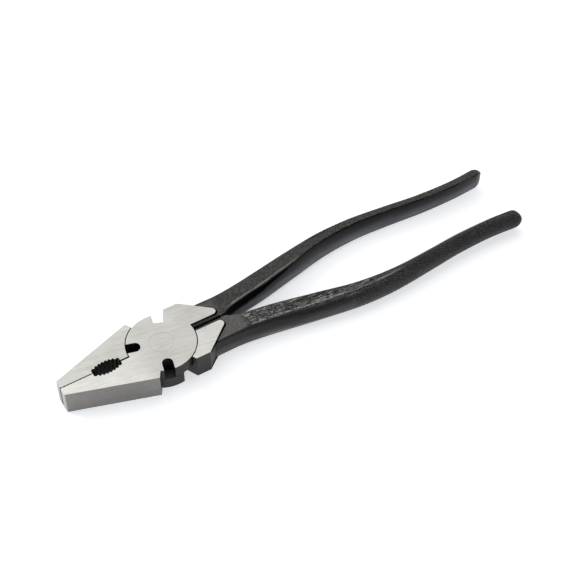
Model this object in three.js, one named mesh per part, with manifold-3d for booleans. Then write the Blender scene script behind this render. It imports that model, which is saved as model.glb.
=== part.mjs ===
// Ten-inch solid-joint pliers with shear notches for wire. Two forged halves of one shape lap at a
// round joint and turn on a flush rivet: the second half is the first one turned over, end for end.
// Frame in millimetres: origin on the pivot axis at the bottom faces, +X to the handle ends, +Z up.
import * as THREE from "three";
import Module from "manifold-3d";
import { mergeVertices } from "three/addons/utils/BufferGeometryUtils.js";

const wasm = await Module();
wasm.setup();

// Head
const thickness = 13.8; // across the two ground faces
const discRadius = 16.9; // the round lap of each half
const jawLength = 35.7; // from the disc's edge to the nose
const noseHalf = 4.5; // half the nose's width
const jawShoulder = { angle: 119.2, stand: 4 }; // back corner of a jaw, out from the disc's edge
const jawBackLean = 0.62; // how far the jaw's back edge runs in X for each mm of Y
const shoulderHalf = 17.1; // half the width over the wings behind the joint
const shoulderLength = 7.45; // straight outer edge of a wing
const wingReach = 14.5; // from the disc's edge to the wing's tip
const wingTipRadius = 2;

// Pipe grip between the jaws
const gripSetback = 4.65; // from the disc's edge to the grip
const gripLength = 14.4;
const gripHalf = 3.85; // half its height at the middle
const gripEndHalf = 1.8; // and at its ends
const gripTeeth = 8;
const gripToothDepth = 0.8;

// Wire notches in the lap: two slots with round floors, and one open V
const cutterAngles = [163.8, 256];
const cutterWidth = 5.2;
const cutterFloor = 10.1; // floor's distance from the pivot
const veeFloor = [[6.25, 10.2], [1.85, 12.1]]; // the V's two lower corners
const veeLeft = 0.25; // X run for each mm of Y on its two walls
const veeRight = 0.5;

// Wire puller between the wings
const slotHalf = 2.3; // half the gap between the ground wings
const pullerHalf = 0.4; // half the gap between the toothed walls below them
const pullerTeeth = 12;
const pullerPitch = 1.3;
const pullerToothDepth = 0.5;

// Rivet
const rivetShank = 5;
const rivetHead = 5.9; // flush at both faces
const rivetTaper = 1.8; // depth of the countersunk head

// Clearances
const lapGap = 0.3; // between the two laps
const recessGap = 0.4; // round the disc
const jawGap = 0.35; // between the closed jaws
const reliefGap = 0.75; // between them behind the grip
const rivetGap = 0.3;

const steel = { half: 0x6f6d69, turnedHalf: 0x5f5d5a, rivet: 0xc9c6bf };

// Handle: a strap with a flat inner wall and a rounded outer side
const handleReach = 182; // from the disc's edge to the handle's end
const faceStand = 0.95; // how far the ground faces stand above the forging
const rootHalf = 13; // half the width over the two roots
const rootLength = 17.2; // from the disc's edge to where the handles part
const tipLength = 5.5; // rounded end
const innerEdge = 0.9; // radius along the inner wall's edges
const rootOverlap = 2.2; // how far the strap starts inside the root
// at: share of the strap; inner: wall from the centre line; width and flat: whole section and its flat
// top; round: how much of the outer side is rounded; lean: top over bottom; slim: off the full height
const stations = [
  { at: 0, inner: 1.4, width: 11.2, flat: 10, round: 0.25, lean: 0, slim: 0.4 },
  { at: 0.05, inner: 3.3, width: 9.9, flat: 8.6, round: 0.3, lean: 0.6, slim: 0 },
  { at: 0.11, inner: 5.2, width: 9.3, flat: 7.7, round: 0.35, lean: 1.2, slim: 0.2 },
  { at: 0.17, inner: 7, width: 9.4, flat: 7.3, round: 0.5, lean: 1.5, slim: 0.5 },
  { at: 0.29, inner: 11.5, width: 8.9, flat: 6.2, round: 0.75, lean: 1.8, slim: 0.9 },
  { at: 0.41, inner: 15.9, width: 7.7, flat: 4.2, round: 1, lean: 2.1, slim: 1.1 },
  { at: 0.525, inner: 17.5, width: 6.3, flat: 3, round: 1, lean: 2, slim: 1.1 },
  { at: 0.645, inner: 16.5, width: 5.8, flat: 1.9, round: 1, lean: 1.5, slim: 1.1 },
  { at: 0.765, inner: 14.7, width: 5.8, flat: 1.5, round: 1, lean: 0.8, slim: 1.3 },
  { at: 0.885, inner: 14.3, width: 5.8, flat: 1.4, round: 1, lean: 0.3, slim: 1.5 },
  { at: 1, inner: 15.4, width: 5.8, flat: 1.4, round: 1, lean: 0, slim: 1.7 },
];

// Fineness of curves and reach of the cutting solids past the faces
const discSides = 72;
const handleSteps = 34;
const tipSteps = 6;
const tipBlunt = 0.3; // of a step, so that the last ring stays open
const cornerSteps = 6;
const roundSteps = 12;
const pinch = 0.02; // share of the height that keeps the outer side's two quarters apart
const overrun = 2;

const middle = thickness / 2;
const lapFloor = middle + lapGap / 2; // underside of the upper lap
const forgingHeight = thickness - 2 * faceStand;
const rootEnd = discRadius + rootLength;
const strapStart = rootEnd - rootOverlap;
const strapLength = discRadius + handleReach - strapStart;
const turn = Math.PI / 180;

// A closed geometry as a solid that can be joined and cut
function solid(geometry) {
  const bare = new THREE.BufferGeometry();
  bare.setAttribute("position", geometry.getAttribute("position"));
  if (geometry.index) bare.setIndex(geometry.index);
  const merged = mergeVertices(bare, 1e-5);
  const mesh = new wasm.Mesh({
    numProp: 3,
    vertProperties: new Float32Array(merged.attributes.position.array),
    triVerts: new Uint32Array(merged.index.array),
  });
  return new wasm.Manifold(mesh);
}

function geometryOf(body) {
  const { vertProperties, triVerts } = body.getMesh();
  const geometry = new THREE.BufferGeometry();
  geometry.setAttribute("position", new THREE.BufferAttribute(vertProperties, 3));
  geometry.setIndex(new THREE.BufferAttribute(triVerts, 1));
  const faceted = geometry.toNonIndexed();
  faceted.computeVertexNormals();
  return faceted;
}

// An outline in XY raised from one height to another
function prism(points, low, high) {
  const shape = new THREE.Shape(points.map(([x, y]) => new THREE.Vector2(x, y)));
  const raised = new THREE.ExtrudeGeometry(shape, { depth: high - low, bevelEnabled: false });
  return solid(raised.translate(0, 0, low));
}

function arc(x, y, radius, from, to, steps) {
  return Array.from({ length: steps + 1 }, (_, i) => {
    const angle = (from + ((to - from) * i) / steps) * turn;
    return [x + radius * Math.cos(angle), y + radius * Math.sin(angle)];
  });
}

// A turned solid about the pivot, from radius and height pairs
function turned(profile) {
  const ring = profile.map(([radius, height]) => new THREE.Vector2(radius, height));
  return solid(new THREE.LatheGeometry(ring, discSides).rotateX(Math.PI / 2));
}

function disc(radius, low, high) {
  return prism(arc(0, 0, radius, 0, 360 - 360 / discSides, discSides - 1), low, high);
}

// A row of teeth from one X to another, as points on a wall whose height off the line is given
function teeth(from, to, count, depth, wallAt) {
  const pitch = (to - from) / count;
  const row = [];
  for (let i = 0; i < count; i++) {
    const root = from + (i + 0.5) * pitch;
    row.push([root, wallAt(root)]);
    if (i < count - 1) row.push([root + pitch / 2, wallAt(root + pitch / 2) - depth]);
  }
  return row;
}

// The front jaw, its inner face just short of the centre line
function jawOutline() {
  const nose = -(discRadius + jawLength);
  const gripEnd = -(discRadius + gripSetback);
  const gripStart = gripEnd - gripLength;
  const corner = discRadius + jawShoulder.stand;
  const cornerX = corner * Math.cos(jawShoulder.angle * turn);
  const cornerY = corner * Math.sin(jawShoulder.angle * turn);
  const run = 2 * jawShoulder.stand; // the back edge runs on into the disc
  const rise = gripHalf - gripEndHalf;
  const bow = (rise * rise + (gripLength * gripLength) / 4) / (2 * rise);
  const wall = (x) => {
    const along = x - (gripStart + gripEnd) / 2;
    return gripHalf - bow + Math.sqrt(bow * bow - along * along);
  };
  const grip = teeth(gripStart, gripEnd, gripTeeth, gripToothDepth, wall);
  return [
    [nose, jawGap / 2],
    [gripStart, jawGap / 2],
    [gripStart, gripEndHalf],
    ...grip,
    [gripEnd, gripEndHalf],
    [gripEnd, reliefGap / 2],
    [0, reliefGap / 2],
    [cornerX + jawBackLean * run, cornerY - run],
    [cornerX, cornerY],
    [nose, noseHalf],
  ].map(([x, y]) => [x, -y]);
}

// The rear wing, from inside the disc to its rounded tip
function wingOutline() {
  const startX = veeFloor[0][0] + (shoulderHalf - veeFloor[0][1]) * veeRight;
  const endX = startX + shoulderLength;
  const tipX = discRadius + wingReach - wingTipRadius;
  const tipY = slotHalf + wingTipRadius;
  // the taper leaves the shoulder and touches the tip's round
  const toTip = Math.atan2(tipY - shoulderHalf, tipX - endX);
  const swing = Math.asin(wingTipRadius / Math.hypot(tipX - endX, tipY - shoulderHalf));
  const touch = (toTip + swing) / turn + 90;
  return [
    [0, slotHalf],
    ...arc(tipX, tipY, wingTipRadius, -90, touch, roundSteps),
    [endX, shoulderHalf],
    [startX - cutterWidth / 2, shoulderHalf],
    [0, veeFloor[1][1] / 2],
  ];
}

// The black forging between and beside the wings, with the puller's teeth along its inner wall
function rootOutline() {
  const start = discRadius - pullerPitch / 2;
  const end = start + pullerTeeth * pullerPitch;
  const wall = () => pullerHalf + pullerToothDepth;
  const inner = teeth(start, end, pullerTeeth, pullerToothDepth, wall);
  return [[start, pullerHalf], ...inner, [end, pullerHalf], [rootEnd, pullerHalf],
    [rootEnd, rootHalf], [start, rootHalf]];
}

// The open V, cut down from outside the disc
function veeOutline() {
  const [right, left] = veeFloor;
  const top = discRadius + overrun;
  return [left, right, [right[0] + (top - right[1]) * veeRight, top],
    [left[0] + (top - left[1]) * veeLeft, top]];
}

// A slot with a round floor, running out through the disc's edge along +X
function cutterOutline() {
  const half = cutterWidth / 2;
  const far = discRadius + overrun;
  return [[far, -half], ...arc(cutterFloor + half, 0, half, 270, 90, roundSteps), [far, half]].reverse();
}

// Handle section at a share of the strap, read smoothly between the stations
function stationAt(share) {
  const last = stations.length - 1;
  let i = stations.findIndex((s) => s.at >= share);
  i = Math.min(Math.max(i, 1), last);
  const rows = [i - 2, i - 1, i, i + 1].map((k) => stations[Math.min(Math.max(k, 0), last)]);
  const t = (share - rows[1].at) / (rows[2].at - rows[1].at);
  const read = (key) => {
    const [a, b, c, d] = rows.map((row) => row[key]);
    return b + 0.5 * t * (c - a + t * (2 * a - 5 * b + 4 * c - d + t * (3 * (b - c) + d - a)));
  };
  return Object.fromEntries(Object.keys(stations[0]).map((key) => [key, read(key)]));
}

function handleSection(share, shrink) {
  const s = stationAt(share);
  const high = (forgingHeight - s.slim) / 2;
  const outer = s.width - s.flat;
  const round = s.round * high;
  const quarter = (y, z, ry, rz, from) =>
    Array.from({ length: cornerSteps + 1 }, (_, i) => {
      const angle = (from + (90 * i) / cornerSteps) * turn;
      return [y + ry * Math.cos(angle), z + rz * Math.sin(angle)];
    });
  const gap = pinch * high;
  const ring = [
    ...quarter(s.flat, -high + round - gap, outer, round - gap, 270),
    ...quarter(s.flat, high - round + gap, outer, round - gap, 0),
    ...quarter(innerEdge, high - innerEdge, innerEdge, innerEdge, 90),
    ...quarter(innerEdge, -high + innerEdge, innerEdge, innerEdge, 180),
  ];
  const centre = s.width / 2;
  return ring.map(([y, z]) => {
    const leaned = s.inner + centre + (y - centre) * shrink + (s.lean * z * shrink) / (2 * high);
    return [leaned, middle + z * shrink];
  });
}

function handle() {
  const rings = [];
  const tipShare = 1 - tipLength / strapLength;
  for (let i = 0; i <= handleSteps; i++)
    rings.push({ share: (tipShare * i) / handleSteps, shrink: 1 });
  for (let i = 1; i <= tipSteps; i++) {
    const angle = (i / (tipSteps + tipBlunt)) * (Math.PI / 2);
    rings.push({ share: tipShare + (1 - tipShare) * Math.sin(angle), shrink: Math.cos(angle) });
  }
  const points = [];
  const sides = handleSection(0, 1).length;
  for (const { share, shrink } of rings)
    for (const [y, z] of handleSection(share, shrink))
      points.push(strapStart + share * strapLength, y, z);
  const faces = [];
  const quad = (a, b, c, d) => faces.push(a, b, c, a, c, d);
  for (let r = 0; r < rings.length - 1; r++)
    for (let k = 0; k < sides; k++) {
      const next = (k + 1) % sides;
      const here = r * sides;
      quad(here + k, here + next, here + sides + next, here + sides + k);
    }
  const end = (rings.length - 1) * sides;
  for (let k = 1; k < sides - 1; k++) {
    faces.push(0, k + 1, k);
    faces.push(end, end + k, end + k + 1);
  }
  const geometry = new THREE.BufferGeometry();
  geometry.setAttribute("position", new THREE.Float32BufferAttribute(points, 3));
  geometry.setIndex(faces);
  return solid(geometry);
}

// Rivet and its hole: a shank with a countersunk head at each face
function rivetProfile(gap, past) {
  const face = past > 0 ? [[0, -past], [rivetHead + gap, -past]] : [[0, 0]];
  const top = past > 0 ? [[rivetHead + gap, thickness + past], [0, thickness + past]] : [[0, thickness]];
  return [...face, [rivetHead + gap, 0], [rivetShank + gap, rivetTaper],
    [rivetShank + gap, thickness - rivetTaper], [rivetHead + gap, thickness], ...top];
}

function forgedHalf() {
  const forging = prism(rootOutline(), faceStand, thickness - faceStand).add(handle());
  const recess = disc(discRadius + recessGap, -overrun, lapFloor);
  let half = prism(jawOutline(), 0, thickness)
    .add(prism(wingOutline(), 0, thickness))
    .add(forging)
    .subtract(recess)
    .add(disc(discRadius, lapFloor, thickness))
    .subtract(prism(veeOutline(), -overrun, thickness + overrun))
    .subtract(turned(rivetProfile(rivetGap, overrun)));
  for (const angle of cutterAngles)
    half = half.subtract(
      prism(cutterOutline(), lapFloor - lapGap / 2, thickness + overrun).rotate([0, 0, angle]),
    );
  return geometryOf(half);
}

function named(name, geometry, colour, roughness, metalness) {
  const material = new THREE.MeshStandardMaterial({ color: colour, roughness, metalness });
  const mesh = new THREE.Mesh(geometry, material);
  mesh.name = name;
  return mesh;
}

const group = new THREE.Group();
const frontHalf = named("front_jaw_half", forgedHalf(), steel.half, 0.42, 0.7);
const rearHalf = named("rear_jaw_half", frontHalf.geometry, steel.turnedHalf, 0.42, 0.7);
rearHalf.rotation.x = Math.PI;
rearHalf.position.z = thickness;
const rivet = named("pivot_rivet", geometryOf(turned(rivetProfile(0, 0))), steel.rivet, 0.3, 0.9);
group.add(frontHalf, rearHalf, rivet);

export default group;
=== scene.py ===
import math

import bmesh
import bpy
import numpy as np
from mathutils import Matrix, Vector, noise


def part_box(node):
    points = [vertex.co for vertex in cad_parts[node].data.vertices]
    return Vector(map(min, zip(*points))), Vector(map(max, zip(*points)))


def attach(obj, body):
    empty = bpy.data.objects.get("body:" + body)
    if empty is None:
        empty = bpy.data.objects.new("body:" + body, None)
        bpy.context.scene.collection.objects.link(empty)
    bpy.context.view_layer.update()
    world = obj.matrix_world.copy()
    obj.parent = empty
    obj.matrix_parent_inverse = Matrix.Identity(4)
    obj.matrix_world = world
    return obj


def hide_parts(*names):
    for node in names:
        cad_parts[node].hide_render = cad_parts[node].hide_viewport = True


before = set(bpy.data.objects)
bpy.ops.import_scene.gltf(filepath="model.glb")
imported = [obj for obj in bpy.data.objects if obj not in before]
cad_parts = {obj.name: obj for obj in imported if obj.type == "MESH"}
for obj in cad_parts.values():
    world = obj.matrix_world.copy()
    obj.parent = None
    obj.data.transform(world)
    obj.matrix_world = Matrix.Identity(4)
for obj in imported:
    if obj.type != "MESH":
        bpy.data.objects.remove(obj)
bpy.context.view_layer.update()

mm = 0.001
low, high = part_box("front_jaw_half")
rivetLow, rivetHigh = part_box("pivot_rivet")
thickness = (high.z - low.z) / mm
middle = thickness / 2
noseX = low.x / mm
handleEnd = high.x / mm
rivetRadius = (rivetHigh.x - rivetLow.x) / 2 / mm
print("frame loaded", round(handleEnd - noseX, 1), "mm long")

# shared shop work: outlines, joins and cuts, all in mm until the last step

scene = bpy.context.scene


def meshPiece(name, points, faces):
    mesh = bpy.data.meshes.new(name)
    mesh.from_pydata([tuple(p) for p in points], [], [tuple(f) for f in faces])
    mesh.update()
    piece = bpy.data.objects.new(name, mesh)
    scene.collection.objects.link(piece)
    return piece


def arc(x, y, radius, start, end, steps):
    angles = [math.radians(start + (end - start) * i / steps) for i in range(steps + 1)]
    return [(x + radius * math.cos(a), y + radius * math.sin(a)) for a in angles]


def prism(outline, bottom, top, name="blank"):
    n = len(outline)
    turn = sum(a[0] * b[1] - b[0] * a[1] for a, b in zip(outline, outline[1:] + outline[:1]))
    if turn < 0:
        outline = outline[::-1]
    points = [(x, y, bottom) for x, y in outline] + [(x, y, top) for x, y in outline]
    faces = [range(n - 1, -1, -1), range(n, 2 * n)]
    faces += [(i, (i + 1) % n, n + (i + 1) % n, n + i) for i in range(n)]
    return meshPiece(name, points, faces)


def turnedSolid(profile, sides, name="turned"):
    # profile runs up from the axis to the axis, as radius and height
    rings = profile[1:-1]
    points = [(0, 0, profile[0][1])]
    for radius, height in rings:
        for k in range(sides):
            a = 2 * math.pi * k / sides
            points.append((radius * math.cos(a), radius * math.sin(a), height))
    points.append((0, 0, profile[-1][1]))
    faces = []
    for k in range(sides):
        nxt = (k + 1) % sides
        faces.append((0, 1 + nxt, 1 + k))
        for r in range(len(rings) - 1):
            a = 1 + r * sides
            faces.append((a + k, a + nxt, a + sides + nxt, a + sides + k))
        a = 1 + (len(rings) - 1) * sides
        faces.append((a + k, a + nxt, len(points) - 1))
    return meshPiece(name, points, faces)


def fade(value, start, end):
    t = np.clip((value - start) / (end - start), 0, 1)
    return t * t * (3 - 2 * t)


def settle(piece):
    # bake the modifiers into the mesh
    shape = piece.evaluated_get(bpy.context.evaluated_depsgraph_get())
    mesh = bpy.data.meshes.new_from_object(shape)
    piece.modifiers.clear()
    piece.data = mesh
    return piece


def work(piece, tool, how):
    cut = piece.modifiers.new(how, "BOOLEAN")
    cut.operation = how
    cut.solver = "MANIFOLD"
    cut.object = tool
    settle(piece)
    bpy.data.objects.remove(tool)
    return piece


# the head: jaws, lap, wings and everything cut into them

head = {
    "discRadius": 16.9,
    "recessGap": 0.4,  # round the other half's disc
    "lapGap": 0.08,
    "noseHalf": 4.5,
    "shoulderAngle": 119.2,  # back corner of the jaw
    "shoulderStand": 4.0,  # out past the disc
    "backLean": 0.62,
    "jawGap": 0.35,
    "reliefGap": 0.75,  # between the grip and the joint
    "gripStart": -35.95,
    "gripEnd": -21.55,
    "gripHalf": 3.85,
    "gripEndHalf": 1.8,
    "gripTeeth": 8,
    "gripTooth": 0.8,
    "gripRoot": 0.19,  # half the flat at the root of each tooth
    "faceGrooves": 9,  # fine cross grooves on the gripping faces
    "grooveDepth": 0.15,
    "grooveStart": 1.4,  # from the nose
    "grooveSpare": 2,  # plain face left over at both ends
    "cutterAngles": (163.8, 256),  # the two round-floored wire slots
    "cutterWidth": 5.2,
    "cutterFloor": 10.1,
    "veeRight": (6.25, 10.2, 0.5),  # lower corner, and X run for each mm of Y
    "veeLeft": (1.85, 12.1, 0.25),
    "wingHalf": 17.1,
    "wingLength": 7.45,
    "wingReach": 14.5,
    "wingTip": 2.0,
    "wingRoot": 2.6,  # runs this far back past the notch, which is cut later
    "slotHalf": 2.3,
    "noseChamfer": 0.4,
    "noseRound": 0.35,
    "draft": 1.05,  # slope of the step round the wings
    "step": 0.95,  # how far the ground faces stand above the forging
    "skirtSink": 0.15,  # the skirt stops this far under the ground face
    "skirtFoot": 0.3,  # and runs this far into the forging
    "boreRadius": 5.03,
    "boreTaper": 1.8,
    "boreGap": 0.02,
    "edge": 0.15,  # broken edges
    "rivetEdge": 0.03,
    "rimSides": 240,
}


def teethRow(h, wallAt):
    start, count, flat = h["gripStart"], h["gripTeeth"], h["gripRoot"]
    pitch = (h["gripEnd"] - start) / count
    row = []
    for i in range(count):
        root = start + (i + 0.5) * pitch
        row += [(root - flat, wallAt(root)), (root + flat, wallAt(root))]
        if i < count - 1:
            row.append((root + pitch / 2, wallAt(root + pitch / 2) - h["gripTooth"]))
    return row


def jawCorner(h):
    corner = h["discRadius"] + h["shoulderStand"]
    a = math.radians(h["shoulderAngle"])
    return corner * math.cos(a), corner * math.sin(a)


def jawOutline(h):
    cornerX, cornerY = jawCorner(h)
    run = 2 * h["shoulderStand"]
    rise = h["gripHalf"] - h["gripEndHalf"]
    span = h["gripEnd"] - h["gripStart"]
    bow = (rise * rise + span * span / 4) / (2 * rise)
    mid = (h["gripStart"] + h["gripEnd"]) / 2

    def gripWall(x):
        return h["gripHalf"] - bow + math.sqrt(bow * bow - (x - mid) ** 2)

    flat = h["jawGap"] / 2
    grooves = []
    reach = h["gripStart"] - noseX - h["grooveSpare"]
    pitch = reach / h["faceGrooves"]
    for i in range(h["faceGrooves"]):
        at = noseX + h["grooveStart"] + (i + 0.5) * pitch
        grooves += [(at - pitch * 0.3, flat), (at, flat + h["grooveDepth"]), (at + pitch * 0.3, flat)]
    chamfer = h["noseChamfer"]
    outline = [(noseX, flat + chamfer), (noseX + chamfer * 1.4, flat)] + grooves
    outline += [(h["gripStart"], flat), (h["gripStart"], h["gripEndHalf"])]
    outline += teethRow(h, gripWall)
    outline += [
        (h["gripEnd"], h["gripEndHalf"]),
        (h["gripEnd"], h["reliefGap"] / 2),
        (0, h["reliefGap"] / 2),
        (cornerX + h["backLean"] * run, cornerY - run),
        (cornerX, cornerY),
        (noseX + h["noseRound"], h["noseHalf"] + h["noseRound"] * 0.3),
        (noseX, h["noseHalf"] - h["noseRound"] * 0.6),
    ]
    return [(x, -y) for x, y in outline]


def wingOutline(h, grow=0.0):
    x, y, lean = h["veeRight"]
    startX = x + (h["wingHalf"] - y) * lean
    endX = startX + h["wingLength"]
    tipX = h["discRadius"] + h["wingReach"] - h["wingTip"]
    tipY = h["slotHalf"] + h["wingTip"]
    toTip = math.atan2(tipY - h["wingHalf"], tipX - endX)
    swing = math.asin(h["wingTip"] / math.hypot(tipX - endX, tipY - h["wingHalf"]))
    touch = math.degrees(toTip + swing) + 90
    if not grow:
        outline = [(0, h["slotHalf"])] + arc(tipX, tipY, h["wingTip"], -90, touch, 24)
        return outline + [(endX, h["wingHalf"]), (startX - h["wingRoot"], h["wingHalf"]), (0, 6)]
    # only the part that stands on the forging, pushed out by the draft
    rim = h["discRadius"] + 2
    outward = Vector((math.cos(math.radians(touch)), math.sin(math.radians(touch)))) * grow
    outline = [(rim, h["slotHalf"] + 0.02)]
    for i in range(25):
        angle = -90 + (touch + 90) * i / 24
        side = h["wingTip"] + grow * float(fade(angle, -90, -35))
        a = math.radians(angle)
        outline.append((tipX + side * math.cos(a), tipY + side * math.sin(a)))
    outline.append((endX + outward.x, h["wingHalf"] + outward.y - 1.1))
    outline.append((rim, h["wingHalf"] - 5))
    return outline


def draftSkirt(h, facing):
    # sloped step from the ground face down to the forging, on the face at the top or the bottom
    wide = wingOutline(h, h["draft"])
    narrow = wingOutline(h, 0.02)
    n = len(wide)
    near, far = h["skirtSink"], h["step"] + h["skirtFoot"]
    if facing > 0:
        near, far = thickness - h["skirtSink"], thickness - h["step"] - h["skirtFoot"]
    points = [(x, y, far) for x, y in wide] + [(x, y, near) for x, y in narrow]
    faces = [range(n - 1, -1, -1), range(n, 2 * n)]
    faces += [(i, (i + 1) % n, n + (i + 1) % n, n + i) for i in range(n)]
    if facing < 0:
        faces = [tuple(f)[::-1] for f in faces]
    return meshPiece("skirt", points, faces)


def headBlank(h, name):
    over = 2  # how far the cutting tools run past the steel
    lapFloor = middle + h["lapGap"] / 2
    sides = h["rimSides"]
    rim = arc(0, 0, h["discRadius"], 0, 360 - 360 / sides, sides - 1)
    recess = arc(0, 0, h["discRadius"] + h["recessGap"], 0, 360 - 360 / sides, sides - 1)
    blank = prism(jawOutline(h), 0, thickness, name)
    work(blank, prism(wingOutline(h), 0, thickness), "UNION")
    work(blank, prism(recess, -over, lapFloor), "DIFFERENCE")
    work(blank, prism(rim, lapFloor, thickness), "UNION")
    right, left = h["veeRight"], h["veeLeft"]
    top = h["discRadius"] + over
    vee = [left[:2], right[:2], (right[0] + (top - right[1]) * right[2], top)]
    vee.append((left[0] + (top - left[1]) * left[2], top))
    work(blank, prism(vee, -over, thickness + over), "DIFFERENCE")
    half = h["cutterWidth"] / 2
    slot = [(top, half)] + arc(h["cutterFloor"] + half, 0, half, 90, 270, 28) + [(top, -half)]
    for angle in h["cutterAngles"]:
        turn = Matrix.Rotation(math.radians(angle), 2)
        turned = [tuple(turn @ Vector(p)) for p in slot]
        work(blank, prism(turned, lapFloor - 1, thickness + over), "DIFFERENCE")
    return blank


def boreRivetHole(blank, h):
    wide = rivetRadius + h["boreGap"]
    bore = [(0, -1), (wide + h["rivetEdge"], -1), (wide + h["rivetEdge"], 0)]
    bore += [(wide, h["rivetEdge"]), (h["boreRadius"], h["boreTaper"])]
    bore += [(r, thickness - z) for r, z in reversed(bore)]
    work(blank, turnedSolid(bore, 120), "DIFFERENCE")


def breakEdges(piece, width):
    shape = bmesh.new()
    shape.from_mesh(piece.data)
    # slivers left by the cuts would spoil the bevel
    bmesh.ops.remove_doubles(shape, verts=shape.verts, dist=0.004)
    level = math.radians(0.4)
    bmesh.ops.dissolve_limit(shape, angle_limit=level, verts=shape.verts, edges=shape.edges)
    shape.to_mesh(piece.data)
    shape.free()
    bevel = piece.modifiers.new("edges", "BEVEL")
    bevel.width = width
    bevel.segments = 2
    bevel.limit_method = "ANGLE"
    bevel.angle_limit = math.radians(32)
    bevel.use_clamp_overlap = False
    bevel.miter_outer = "MITER_ARC"
    settle(piece)


# the strap handle, drawn as sections along X

strap = {
    "start": 17.45,
    "faceStand": 0.95,  # how far the ground faces stand above the forging
    "tip": 5.5,
    "edge": 0.45,
    "rootEdge": 0.15,  # sharper beside the puller slot
    "pullerStart": 16.25,
    "pullerPitch": 1.3,
    "pullerTeeth": 12,
    "pullerTooth": 0.6,
    "spacing": 0.32,  # between sections
    "around": 148,  # points round each section
    "crown": 0.35,  # both side walls draw back from the parting line
    "partingLine": 0.06,
    "knurlFrom": 90,
    "knurlPitch": 1.35,
    "knurlDepth": 0.33,
    "knurlLean": 0.58,  # slope of its two sets of grooves
    "drawPitch": 1.15,  # draw lines ahead of the knurl
    "drawDepth": 0.07,
    "swell": 0.08,  # slow waves of the forging
    "pebbleDepth": 0.07,
    "foldDepth": 0.3,
    "ridgeRise": 0.1,
    "seamRise": 0.07,
}

# material slots of a forged half, in order
finishNames = ("ground", "side", "nose", "joint", "face", "inner", "outer", "root")
slotOf = {name: i for i, name in enumerate(finishNames)}

# x, inner wall, width, flat top, how round the outer side is, lean, slimmer than the root by
sections = [
    (12.0, 0.4, 12.6, 11.8, 0.16, 0.0, 0.0),
    (34.1, 0.4, 12.6, 11.4, 0.24, 0.0, 0.0),
    (36.3, 1.7, 11.5, 10.0, 0.3, 0.2, 0.0),
    (40.3, 3.3, 10.1, 8.6, 0.38, 0.6, 0.0),
    (50.3, 5.1, 9.65, 7.75, 0.46, 1.2, 0.2),
    (60.3, 6.9, 9.75, 7.4, 0.55, 1.5, 0.5),
    (80.3, 11.35, 9.35, 5.75, 0.75, 1.8, 0.9),
    (100.4, 15.75, 8.1, 3.9, 1.0, 2.1, 1.1),
    (119.6, 17.3, 6.65, 2.55, 0.88, 2.0, 1.1),
    (139.6, 16.25, 6.05, 1.65, 0.88, 1.5, 1.1),
    (159.7, 14.4, 6.1, 1.4, 0.88, 0.8, 1.3),
    (179.7, 13.9, 6.2, 1.5, 0.88, 0.3, 1.5),
    (198.9, 14.95, 6.7, 1.65, 0.88, 0.0, 1.7),
]


def sectionAt(x):
    last = len(sections) - 1
    i = next((k for k, s in enumerate(sections) if s[0] >= x), last)
    i = max(i, 1)
    rows = [np.array(sections[min(max(k, 0), last)]) for k in (i - 2, i - 1, i, i + 1)]
    a, b, c, d = rows
    # slopes allow for uneven spacing
    gap = c[0] - b[0]
    slopeB = (c - a) / max(c[0] - a[0], 1e-6) * gap
    slopeC = (d - b) / max(d[0] - b[0], 1e-6) * gap
    t = (x - b[0]) / gap
    return (
        b * (2 * t**3 - 3 * t**2 + 1)
        + slopeB * (t**3 - 2 * t**2 + t)
        + c * (3 * t**2 - 2 * t**3)
        + slopeC * (t**3 - t**2)
    )


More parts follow.
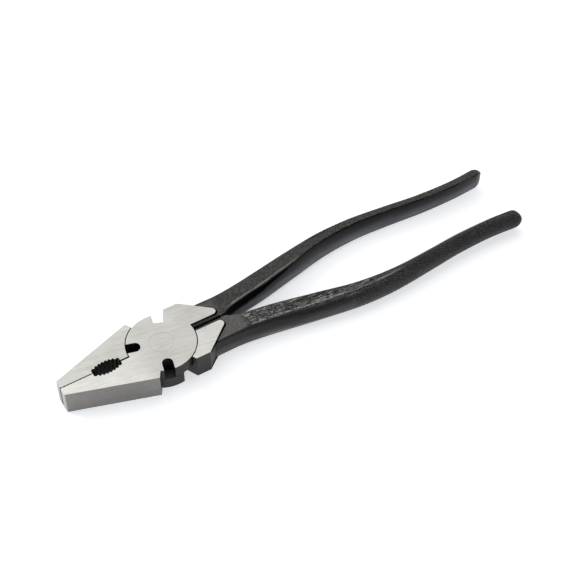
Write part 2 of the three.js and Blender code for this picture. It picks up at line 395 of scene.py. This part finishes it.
def ringAt(x, s, shrink):
    _, inner, width, flat, roundness, lean, slim = sectionAt(x)
    half = (thickness - 2 * s["faceStand"] - slim) / 2
    outer = width - flat
    tall = max(roundness * half, 0.3)
    edge = s["rootEdge"] + (s["edge"] - s["rootEdge"]) * float(fade(x, 33, 42))
    quarterTurn = np.linspace(0, math.pi / 2, 24)
    ys, zs = [], []

    def quarter(centreY, centreZ, reachY, reachZ, start):
        ys.extend(centreY + reachY * np.cos(start + quarterTurn))
        zs.extend(centreZ + reachZ * np.sin(start + quarterTurn))

    quarter(flat, -half + tall, outer, tall, -math.pi / 2)
    quarter(flat, half - tall, outer, tall, 0)
    quarter(edge, half - edge, edge, edge, math.pi / 2)
    wall = np.linspace(half - edge, -half + edge, 40)[1:-1]
    ys.extend(np.zeros(len(wall)))
    zs.extend(wall)
    quarter(edge, -half + edge, edge, edge, math.pi)
    y, z = np.array(ys), np.array(zs)
    # side walls stand proud at the parting line, and fall back to the faces
    proud = float(fade(x, 38, 60) * fade(196 - x, 0, 20))
    tent = np.clip(1 - np.abs(z) / half, 0, 1)
    seam = np.clip(1 - np.abs(z) / 0.35, 0, 1) * s["partingLine"]
    innerSide = np.clip(1 - y / 1.5, 0, 1)
    y = y - (s["crown"] * tent + seam) * proud * innerSide
    if x < s["pullerStart"] + s["pullerTeeth"] * s["pullerPitch"]:
        # scallops of the puller, on the inner wall only
        phase = ((x - s["pullerStart"]) / s["pullerPitch"]) % 1
        scallop = 0.5 - 0.5 * math.cos(2 * math.pi * phase)
        y = y + s["pullerTooth"] * scallop * np.clip(1 - y / 1.6, 0, 1)
    # more points where the skin is rough, fewer on the smooth inner wall
    loop = np.stack([y, z], 1)
    closed = np.vstack([loop, loop[:1]])
    length = np.linalg.norm(np.diff(closed, axis=0), axis=1)
    middleY = (closed[1:, 0] + closed[:-1, 0]) / 2
    weight = np.where(middleY < 0.25, 0.6, 1.15)
    run = np.concatenate([[0], np.cumsum(length)])
    spread = np.concatenate([[0], np.cumsum(length * weight)])
    at = np.linspace(0, spread[-1], s["around"], endpoint=False)
    y = np.interp(at, spread, closed[:, 0])
    z = np.interp(at, spread, closed[:, 1])
    along = np.interp(at, spread, run)
    centre = width / 2
    where = {
        "up": z / half,
        "fromInner": y,
        "toOuter": np.clip((y - flat * 0.5) / max(width - flat * 0.5, 0.1), 0, 1),
        "along": along,
        "topInner": np.hypot(y - 0.2, np.abs(z) - (half - 0.2)),
        "pastFlat": y - flat,
    }
    y = inner + centre + (y - centre) * shrink + lean * z * shrink / (2 * half)
    z = middle + z * shrink
    return np.stack([np.full(len(y), x), y, z], 1), where


def field(points, size, offset, octaves=1):
    # lumps of about the given size in mm, from -1 to 1
    found = []
    for p in points:
        at = Vector((p[0] / size[0], p[1] / size[1], p[2] / size[2])) + offset
        found.append(noise.fractal(at, 0.6, 2.0, octaves))
    return np.array(found)


def strapHandle(s, seed, kind, upward, name):
    tipStart = handleEnd - s["tip"]
    pullerEnd = s["pullerStart"] + s["pullerTeeth"] * s["pullerPitch"]
    xs = list(np.arange(s["start"], pullerEnd, s["pullerPitch"] / 8))
    xs += list(np.arange(pullerEnd, tipStart, s["spacing"]))
    shrinks = [1.0] * len(xs)
    for i in range(1, 23):
        a = i / 22.6 * math.pi / 2
        xs.append(tipStart + s["tip"] * math.sin(a))
        shrinks.append(math.cos(a))
    n = s["around"]
    made = [ringAt(x, s, shrink) for x, shrink in zip(xs, shrinks)]
    grid = np.array([ring for ring, _ in made])
    where = {key: np.array([w[key] for _, w in made]) for key in made[0][1]}
    ahead = np.gradient(grid, axis=0)
    across = np.roll(grid, -1, axis=1) - np.roll(grid, 1, axis=1)
    normal = np.cross(across, ahead)
    normal /= np.maximum(np.linalg.norm(normal, axis=2, keepdims=True), 1e-9)
    shape = grid.shape[:2]
    x = grid[:, :, 0]
    rise = np.zeros(shape)
    onFace = fade(np.abs(normal[:, :, 2]), 0.72, 0.93)

    # knurl: two sets of crossing grooves on the outer side
    knurl = fade(x, s["knurlFrom"], s["knurlFrom"] + 8) * fade(where["toOuter"], 0.2, 0.45)
    knurl = knurl * fade(handleEnd - x, 1.5, 4.5)
    for lean in (s["knurlLean"], -s["knurlLean"]):
        phase = (where["along"] + lean * x) / s["knurlPitch"] % 1
        groove = np.clip(1.15 - np.abs(2 * phase - 1) * 2.2, 0, 1)
        rise -= s["knurlDepth"] * knurl * groove
    # draw lines along the outer side, nearer the joint
    lines = fade(x, 55, 75) * fade(146 - x, 0, 25) * fade(where["toOuter"], 0.3, 0.55)
    rise -= s["drawDepth"] * lines * (np.sin(where["along"] * 2 * math.pi / s["drawPitch"]) * 0.5 + 0.5)
    # forging skin
    flatList = grid.reshape(-1, 3)
    offset = Vector((seed * 17.3, seed * 5.1, seed * 2.7))
    slow = field(flatList, (7, 6, 6), offset).reshape(shape)
    pebble = field(flatList, (1.25, 1.1, 1.1), offset).reshape(shape)
    rise += s["swell"] * slow * (0.4 + 0.6 * onFace)
    rise += s["pebbleDepth"] * pebble * onFace
    pebbled = onFace.copy()
    wearAndHighlight = 0.16 * onFace * fade(34 - x, 0, 3)
    if kind == "pebbled":
        # a rubbed inner edge nearer the joint, bare metal that is partly wear and partly a painted
        # highlight
        span = fade(x, 34, 42) * fade(88 - x, 0, 12)
        rubbedAndHighlit = fade(0.85 - where["topInner"], 0, 0.5) * (0.85 + 0.5 * slow)
        wearAndHighlight = np.maximum(wearAndHighlight, span * rubbedAndHighlit)
    else:
        # folds left by the die, longer along the handle
        short = field(flatList, (2.8, 1.0, 3), offset, 2).reshape(shape)
        long = field(flatList, (8.0, 0.9, 3), offset, 2).reshape(shape)
        share = fade(x, 54, 70)
        folds = short * (1 - share) + long * share
        span = fade(x, 38, 44) * fade(118 - x, 0, 14) * onFace * fade(where["fromInner"], 0.35, 1.3)
        crack = fade(np.abs(folds), 0.02, 0.16)
        rise += s["foldDepth"] * span * (crack - 0.85)
        # painted shade: in the fold creases the grey lift drops away, so they stay near-black
        pebbled = pebbled * (1 - span * (1 - crack))
        flecks = crack * fade(folds, 0.02, 0.3) * fade(slow, -0.45, 0.2)
        outward = 1 - (1 - fade(where["pastFlat"], -4.5, -1.5)) * 0.75 * fade(x, 66, 84)
        wearAndHighlight = np.maximum(wearAndHighlight, span * outward * (0.24 * crack + 0.5 * flecks))
        wearAndHighlight = np.maximum(wearAndHighlight, 0.24 * onFace * fade(43 - x, 0, 4))
        # ridge along the outer border of the flat top, then a thin one inside; both are bare metal that
        # is partly wear and partly a painted highlight
        span = fade(x, 40, 50) * fade(132 - x, 0, 34) * fade(np.abs(normal[:, :, 2]), 0.55, 0.8)
        ridge = fade(0.7 - np.abs(where["pastFlat"] - 0.2), 0, 0.45)
        wearAndHighlight = np.maximum(wearAndHighlight, span * ridge * (1.25 + 0.7 * slow))
        rise += s["ridgeRise"] * span * ridge
        span = fade(x, 118, 130) * fade(186 - x, 0, 14)
        wearAndHighlight = np.maximum(wearAndHighlight, span * fade(0.75 - where["topInner"], 0, 0.5))
        pebbled = pebbled * (1 - 0.5 * span)
    # thin drawn lines along both sides, where the dies met
    down = -upward * where["up"]
    span = fade(x, 42, 55) * fade(118 - x, 0, 30)
    inside = where["fromInner"] < 0.8
    innerLine = fade(0.13 - np.abs(down - 0.25), 0, 0.1)
    outerLine = fade(0.14 - np.abs(down - 0.55), 0, 0.08)
    line = np.where(inside, innerLine, outerLine)
    line *= (1 - onFace) * span
    wearAndHighlight = np.maximum(wearAndHighlight, line * np.where(inside, 0.12, 0.6))
    rise += s["seamRise"] * line
    # painted floor reflection: the side walls are painted lighter towards the bottom; painted shade
    # keeps the upper walls by the joint near-black
    height = 0.5 + upward * (grid[:, :, 2] - middle) / thickness
    joint = fade(95 - x, 0, 50)
    paintedFloorSheen = fade(1 - height, 0.18 + 0.2 * joint, 1.0 - 0.05 * joint) * (1 - onFace)
    # painted floor reflection: where the outer side bulges it is painted a little lighter still
    bulge = fade(x, 70, 90) * fade(165 - x, 0, 20) * fade(1 - height, 0.15, 0.45)
    paintedFloorSheen += 0.14 * bulge * (1 - onFace) * ~inside
    rise *= fade(x, 30, 36) * 0.9 + 0.1
    points = (grid + normal * rise[:, :, None]).reshape(-1, 3)
    rows = len(xs)
    faces = []
    for r in range(rows - 1):
        for k in range(n):
            nxt = (k + 1) % n
            faces.append((r * n + k, r * n + nxt, (r + 1) * n + nxt, (r + 1) * n + k))
    faces.append(tuple(range(n - 1, -1, -1)))
    faces.append(tuple((rows - 1) * n + k for k in range(n)))
    piece = meshPiece(name, points, faces)
    painted = {"wearAndHighlight": wearAndHighlight, "pebbled": pebbled, "knurled": knurl, "paintedFloorSheen": paintedFloorSheen}
    for key, values in painted.items():
        layer = piece.data.attributes.new(key, "FLOAT", "POINT")
        layer.data.foreach_set("value", np.clip(values, 0, 1).astype(np.float32).ravel())
    inside = inside.reshape(-1)
    # painted shade: the upper inner walls by the joint take the dull near-black, in a wedge that
    # narrows away from the joint
    shadeWedge = (height > 0.42 + 0.45 * np.clip((x - 38) / 50, 0, 1)).reshape(-1)
    slots = []
    for face in piece.data.polygons:
        inner = inside[face.vertices[0]]
        limit = 0.75 if inner or face.center.x > 108 else 0.95
        if abs(face.normal.z) >= limit:
            slots.append(slotOf["face"])
        elif not inner:
            slots.append(slotOf["outer"])
        else:
            slots.append(slotOf["root" if shadeWedge[face.vertices[0]] else "inner"])
    piece.data.polygons.foreach_set("material_index", slots)
    return piece


# finishes


class Recipe:
    # a short way to wire nodes
    def __init__(self, name):
        self.material = bpy.data.materials.new(name)
        self.material.use_nodes = True
        self.tree = self.material.node_tree
        self.shader = self.tree.nodes["Principled BSDF"]
        self.coords = self.tree.nodes.new("ShaderNodeTexCoord").outputs["Object"]

    def node(self, kind, inputs=None, **settings):
        made = self.tree.nodes.new("ShaderNode" + kind)
        for key, value in settings.items():
            setattr(made, key, value)
        for key, value in (inputs or {}).items():
            if isinstance(value, bpy.types.NodeSocket):
                self.tree.links.new(value, made.inputs[key])
            else:
                made.inputs[key].default_value = value
        return made

    def link(self, source, socket):
        self.tree.links.new(source, self.shader.inputs[socket])

    def mapped(self, scale, turn=0.0):
        turned = self.node("Mapping", {"Vector": self.coords, "Rotation": (0, 0, turn)})
        turned = turned.outputs["Vector"]
        return self.node("Mapping", {"Vector": turned, "Scale": scale}).outputs["Vector"]

    def noise(self, vector, scale, detail=3, roughness=0.5, distortion=0.0):
        found = {"Vector": vector, "Scale": scale, "Detail": detail, "Roughness": roughness}
        found["Distortion"] = distortion
        return self.node("TexNoise", found).outputs["Fac"]

    def ramp(self, value, start, end, low=0.0, high=1.0):
        found = {"Value": value, "From Min": start, "From Max": end, "To Min": low, "To Max": high}
        return self.node("MapRange", found, clamp=True).outputs["Result"]

    def math(self, how, a, b):
        return self.node("Math", {0: a, 1: b}, operation=how).outputs[0]

    def blend(self, share, a, b):
        return self.node("Mix", {0: share, 6: a, 7: b}, data_type="RGBA").outputs[2]

    def bump(self, height, strength, distance, under=None):
        found = {"Height": height, "Strength": strength, "Distance": distance}
        if under is not None:
            found["Normal"] = under
        return self.node("Bump", found).outputs["Normal"]

    def painted(self, name):
        return self.node("Attribute", attribute_name=name).outputs["Fac"]


# grind runs this far off the long axis
grind = math.radians(9.4)
steels = {
    "near": {
        "name": "groundFaceSteelNear",
        "colour": (0.61, 0.602, 0.575),
        "turn": grind,
        "rough": (0.3, 0.42),
        "contrast": 0.17,
        "lap": 0.82,  # how bright the lap is beside the jaws
    },
    # painted shade: the rear half's ground faces are a darker copy of the same steel
    "far": {
        "name": "groundFaceSteelFar",
        "colour": (0.525, 0.52, 0.495),
        "turn": grind,
        "rough": (0.3, 0.42),
        "contrast": 0.17,
        "lap": 1.06,
    },
    "side": {
        "name": "groundJawSideSteel",
        "colour": (0.22, 0.214, 0.206),
        "turn": -0.32,
        "rough": (0.36, 0.48),
        "contrast": 0.16,
        "lap": 1,
    },
    "nose": {
        "name": "groundNoseSteel",
        "colour": (0.38, 0.375, 0.36),
        "turn": 0.0,
        "rough": (0.34, 0.46),
        "contrast": 0.14,
        "lap": 1,
    },
}


def groundSteel(steel):
    r = Recipe(steel["name"])
    colour, contrast = steel["colour"], steel["contrast"]
    streaks = r.noise(r.mapped((190, 1500, 1500), steel["turn"]), 1.0, 4, 0.6)
    coarse = r.noise(r.mapped((70, 520, 520), steel["turn"]), 1.0, 3, 0.55)
    cloud = r.noise(r.coords, 55, 3, 0.5)
    lines = r.math("ADD", r.math("MULTIPLY", streaks, 0.6), r.math("MULTIPLY", coarse, 0.4))
    tone = r.math("ADD", r.math("MULTIPLY", lines, 0.7), r.math("MULTIPLY", cloud, 0.3))

    def brushed(share):
        dark = tuple(c * share * (1 - contrast) for c in colour) + (1,)
        lite = tuple(c * share * (1 + contrast * 0.6) for c in colour) + (1,)
        return r.blend(r.ramp(tone, 0.38, 0.62), dark, lite)

    shade = brushed(1.0)
    if steel["lap"] != 1:
        # painted shade and light: the lap is painted a little darker than the jaws on the front half
        # and a little lighter on the rear half
        along = r.node("SeparateXYZ", {"Vector": r.coords}).outputs["X"]
        shade = r.blend(r.ramp(along, -0.02, -0.007), shade, brushed(steel["lap"]))
    r.link(shade, "Base Color")
    r.link(r.ramp(lines, 0.3, 0.7, *steel["rough"]), "Roughness")
    r.link(r.bump(lines, 0.25, 0.00002), "Normal")
    r.shader.inputs["Metallic"].default_value = 1.0
    return r.material


skins = {
    # the forged faces: matt and pebbled
    "face": {
        "deep": (0.006, 0.006, 0.006),
        "pale": (0.087, 0.08, 0.073),
        "metal": (0.38, 0.37, 0.355),
        "floorSheen": (0.05, 0.05, 0.05),
        "rough": (0.4, 0.6),
        "gloss": 0.42,
        "pebble": 0.9,
        "grainSize": 820,
    },
    # smooth drawn walls inside the grip
    "inner": {
        "deep": (0.003, 0.003, 0.0035),
        "pale": (0.006, 0.006, 0.007),
        "metal": (0.26, 0.255, 0.25),
        "floorSheen": (0.185, 0.19, 0.208),
        "rough": (0.26, 0.36),
        "gloss": 0.14,
        "pebble": 0.12,
        "grainSize": 1300,
    },
    # painted shade: dull near-black for the upper inner walls by the joint and the steps round the
    # wings
    "root": {
        "deep": (0.0008, 0.0008, 0.0008),
        "pale": (0.002, 0.002, 0.002),
        "metal": (0.2, 0.195, 0.19),
        "floorSheen": (0.105, 0.108, 0.118),
        "rough": (0.5, 0.6),
        "gloss": 0.01,
        "pebble": 0.2,
        "grainSize": 1300,
    },
    # outer sides, lined and knurled
    "outer": {
        "deep": (0.004, 0.004, 0.004),
        "pale": (0.06, 0.059, 0.06),
        "metal": (0.2, 0.195, 0.19),
        "floorSheen": (0.145, 0.142, 0.145),
        "rough": (0.34, 0.5),
        "gloss": 0.18,
        "pebble": 0.45,
        "grainSize": 1100,
    },
    # oiled walls of the joint and its notches
    "joint": {
        "deep": (0.010, 0.009, 0.009),
        "pale": (0.035, 0.031, 0.029),
        "metal": (0.3, 0.28, 0.26),
        "floorSheen": (0.05, 0.05, 0.05),
        "rough": (0.36, 0.55),
        "gloss": 0.35,
        "pebble": 0.25,
        "grainSize": 1200,
    },
}


def blackForging(name, skin):
    r = Recipe(name)
    size = skin["grainSize"]
    grain = r.noise(r.coords, size * 1.7, 3, 0.65)
    lumps = r.noise(r.coords, size, 2, 0.55, 0.4)
    patch = r.noise(r.coords, 140, 4, 0.6)
    pebbled = r.painted("pebbled")
    wearAndHighlight = r.painted("wearAndHighlight")
    knurled = r.painted("knurled")
    paintedFloorSheen = r.painted("paintedFloorSheen")
    # painted shade in the pits; the tops between them are a lighter grey
    tops = r.math("MULTIPLY", r.ramp(lumps, 0.38, 0.6, 0.15, 1.0), r.ramp(grain, 0.3, 0.6, 0.4, 1.0))
    rough = r.math("MAXIMUM", pebbled, r.math("MULTIPLY", knurled, 0.8))
    lift = r.math("MULTIPLY", tops, r.math("ADD", r.math("MULTIPLY", rough, 0.78), 0.22))
    lift = r.math("MULTIPLY", lift, r.ramp(patch, 0.3, 0.7, 0.6, 1.0))
    tone = r.blend(lift, (*skin["deep"], 1), (*skin["pale"], 1))
    drawn = r.noise(r.mapped((25, 500, 500)), 1.0, 2, 0.5)
    # painted floor reflection: a lighter, bluish grey painted low on the side walls
    floorSheen = r.math("MULTIPLY", paintedFloorSheen, r.ramp(drawn, 0.35, 0.65, 0.6, 1.0))
    tone = r.blend(floorSheen, tone, (*skin["floorSheen"], 1))
    # bare metal shows where the black has rubbed off, in specks; along the handle edges it also stands
    # in for a painted highlight
    specks = r.ramp(r.noise(r.coords, 1700, 3, 0.7), 0.57, 0.72)
    metalAndHighlight = r.math("MULTIPLY", wearAndHighlight, r.ramp(grain, 0.3, 0.6, 0.5, 1.0))
    metalAndHighlight = r.math("ADD", metalAndHighlight, r.math("MULTIPLY", specks, r.math("MULTIPLY", knurled, 0.6)))
    metalAndHighlight = r.math("MINIMUM", metalAndHighlight, 1.0)
    r.link(r.blend(metalAndHighlight, tone, (*skin["metal"], 1)), "Base Color")
    r.link(r.math("MULTIPLY", metalAndHighlight, 0.5), "Metallic")
    r.link(r.ramp(patch, 0.3, 0.7, *skin["rough"]), "Roughness")
    fine = r.bump(grain, skin["pebble"] * 0.5, 0.0001)
    deepLumps = r.math("MULTIPLY", lumps, r.ramp(pebbled, 0, 1, 0.3, 1))
    r.link(r.bump(deepLumps, skin["pebble"], 0.0006, fine), "Normal")
    r.shader.inputs["Specular IOR Level"].default_value = skin["gloss"]
    return r.material


nearSteel = groundSteel(steels["near"])
farSteel = groundSteel(steels["far"])
sideSteel = groundSteel(steels["side"])
noseSteel = groundSteel(steels["nose"])
faceBlack = blackForging("blackForgingFace", skins["face"])
innerBlack = blackForging("blackForgingInnerWall", skins["inner"])
outerBlack = blackForging("blackForgingOuterSide", skins["outer"])
paintedShadeBlack = blackForging("paintedShadeRootBlack", skins["root"])
jointBlack = blackForging("oiledJointSteel", skins["joint"])
print("finishes mixed")


def paint(piece):
    # sort the head's faces by where they are, and leave those of the forging as they came
    edge = head["edge"] * 1.1
    cornerX, cornerY = jawCorner(head)
    run = Vector((cornerX - noseX, cornerY - head["noseHalf"], 0)).normalized()
    sideOut = Vector((run.y, run.x, 0))
    for face in piece.data.polygons:
        if face.material_index >= slotOf["face"]:
            continue
        c, n = face.center, face.normal
        outwards = Vector((-n.x, -n.y, 0)).dot(sideOut)
        if (c.z > thickness - edge or c.z < edge) and abs(n.z) > 0.7:
            kind = "ground"
        elif c.x < noseX + 0.5 and n.x < -0.3 and n.y < 0.15:
            kind = "nose"
        elif c.x < -9.5 and outwards > 0.93 and c.y < -3 and abs(n.z) < 0.2:
            kind = "side"
        # painted shade: the outer segment of each broken edge falls through to here, a thin dark line
        # under the bright ground edge
        else:
            kind = "joint"
        face.material_index = slotOf[kind]


def forgedHalf(name, seed, kind, upward, faceSteel):
    # same order as finishNames
    finishes = (faceSteel, sideSteel, noseSteel, jointBlack)
    finishes += (faceBlack, innerBlack, outerBlack, paintedShadeBlack)
    blank = headBlank(head, name)
    print(name, "head cut", len(blank.data.polygons))
    breakEdges(blank, head["edge"])
    boreRivetHole(blank, head)
    print(name, "edges broken", len(blank.data.polygons))
    handle = strapHandle(strap, seed, kind, upward, name + "Strap")
    blank.data.materials.clear()
    for m in finishes:
        blank.data.materials.append(m)
        handle.data.materials.append(m)
    for facing in (1, -1):
        skirt = draftSkirt(head, facing)
        for m in finishes:
            skirt.data.materials.append(m)
        # painted shade: the drafted step round the wings takes the dull near-black
        for face in skirt.data.polygons:
            face.material_index = slotOf["root"]
        work(blank, skirt, "UNION")
    work(blank, handle, "UNION")
    paint(blank)
    print(name, "joined", len(blank.data.polygons))
    return blank


def finish(piece, placed):
    piece.data.transform(Matrix.Scale(mm, 4) @ placed)
    piece.data.polygons.foreach_set("use_smooth", [True] * len(piece.data.polygons))
    piece.data.set_sharp_from_angle(angle=math.radians(34))
    weighted = piece.modifiers.new("flat faces stay flat", "WEIGHTED_NORMAL")
    weighted.keep_sharp = True
    settle(piece)


turnedOver = Matrix.Translation((0, 0, thickness)) @ Matrix.Rotation(math.pi, 4, "X")

frontHalf = forgedHalf("frontJawHalf", 1, "pebbled", 1, nearSteel)
finish(frontHalf, Matrix.Identity(4))
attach(frontHalf, "front_half")
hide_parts("front_jaw_half")

rearHalf = forgedHalf("rearJawHalf", 2, "folded", -1, farSteel)
finish(rearHalf, turnedOver)
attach(rearHalf, "rear_half")
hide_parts("rear_jaw_half")
print("halves forged")

# the rivet, countersunk at both faces and ground flush

rivet = {"shank": 5.0, "taper": 1.8, "chamfer": 0.03, "sunk": 0.008}


def makeRivet(r):
    z = r["sunk"]
    profile = [(0, z), (rivetRadius - r["chamfer"], z), (rivetRadius, z + r["chamfer"])]
    profile.append((r["shank"], r["taper"]))
    profile += [(a, thickness - b) for a, b in reversed(profile)]
    piece = turnedSolid(profile, 120, "pivotRivet")
    piece.data.materials.append(nearSteel)
    return piece


pin = makeRivet(rivet)
finish(pin, Matrix.Identity(4))
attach(pin, "front_half")
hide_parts("pivot_rivet")
print("rivet set")

# floor, light and camera

studio = {
    "floorSize": 6.0,
    "floorGlow": 0.52,
    "world": 0.3,
    "aim": (0.07, 0.0, 0.0),  # the lights point here
}

tripod = {
    "lens": 88.063,
    "sensor": 36,
    "spot": (-0.156426, -0.376743, 0.544958),
    "azimuth": -30.981,
    "elevation": 50.563,
    "roll": 0.2344,
}

# place, size, power, colour
softboxes = {
    "overheadSoftbox": ((0.05, 0.8, 1.2), 1.9, 12.0, (1.0, 0.995, 0.975)),
    "backLeftSoftbox": ((-0.75, 0.85, 0.8), 0.8, 5.0, (0.97, 0.985, 1.0)),
    "frontStrip": ((0.42, -0.95, 0.62), 0.45, 2.0, (1.0, 1.0, 1.0)),
}


def floorPiece():
    half = studio["floorSize"] / 2
    corners = [(-half, -half, 0), (half, -half, 0), (half, half, 0), (-half, half, 0)]
    floor = meshPiece("floor", corners, [(0, 1, 2, 3)])
    r = Recipe("paleFloor")
    tone = r.ramp(r.noise(r.coords, 3, 2), 0.3, 0.7)
    r.link(r.blend(tone, (0.93, 0.935, 0.945, 1), (0.95, 0.95, 0.955, 1)), "Base Color")
    r.shader.inputs["Roughness"].default_value = 0.9
    r.shader.inputs["Specular IOR Level"].default_value = 0.1
    r.shader.inputs["Emission Color"].default_value = (0.95, 0.97, 1.0, 1)
    r.shader.inputs["Emission Strength"].default_value = studio["floorGlow"]
    floor.data.materials.append(r.material)
    floor.location.z = -0.0001  # just clear of the steel


def areaLight(name, place, aim, size, power, colour):
    lamp = bpy.data.lights.new(name, "AREA")
    lamp.shape = "SQUARE"
    lamp.size = size
    lamp.energy = power
    lamp.color = colour
    made = bpy.data.objects.new(name, lamp)
    made.location = place
    made.rotation_euler = (Vector(aim) - Vector(place)).to_track_quat("-Z", "Y").to_euler()
    scene.collection.objects.link(made)


def studioWorld():
    world = bpy.data.worlds.new("studio")
    world.use_nodes = True
    tree = world.node_tree
    back = tree.nodes["Background"]
    back.inputs["Strength"].default_value = studio["world"]
    back.inputs["Color"].default_value = (0.98, 0.99, 1.0, 1)
    scene.world = world


def camera(t):
    lens = bpy.data.cameras.new("camera")
    lens.sensor_width = t["sensor"]
    lens.lens = t["lens"]
    lens.clip_start = 0.01
    made = bpy.data.objects.new("camera", lens)
    azimuth, elevation, roll = (math.radians(t[key]) for key in ("azimuth", "elevation", "roll"))
    flat = math.cos(elevation)
    away = Vector((math.sin(azimuth) * flat, -math.cos(azimuth) * flat, math.sin(elevation)))
    right = Vector((math.cos(azimuth), math.sin(azimuth), 0))
    up = away.cross(right)
    axes = Matrix((right, up, away)).transposed()
    placed = Matrix.Translation(Vector(t["spot"])) @ axes.to_4x4()
    made.matrix_world = placed @ Matrix.Rotation(roll, 4, "Z")
    scene.collection.objects.link(made)
    scene.camera = made


floorPiece()
studioWorld()
for name, (place, size, power, colour) in softboxes.items():
    areaLight(name, place, studio["aim"], size, power, colour)
camera(tripod)
scene.view_settings.view_transform = "Standard"
print("studio lit")
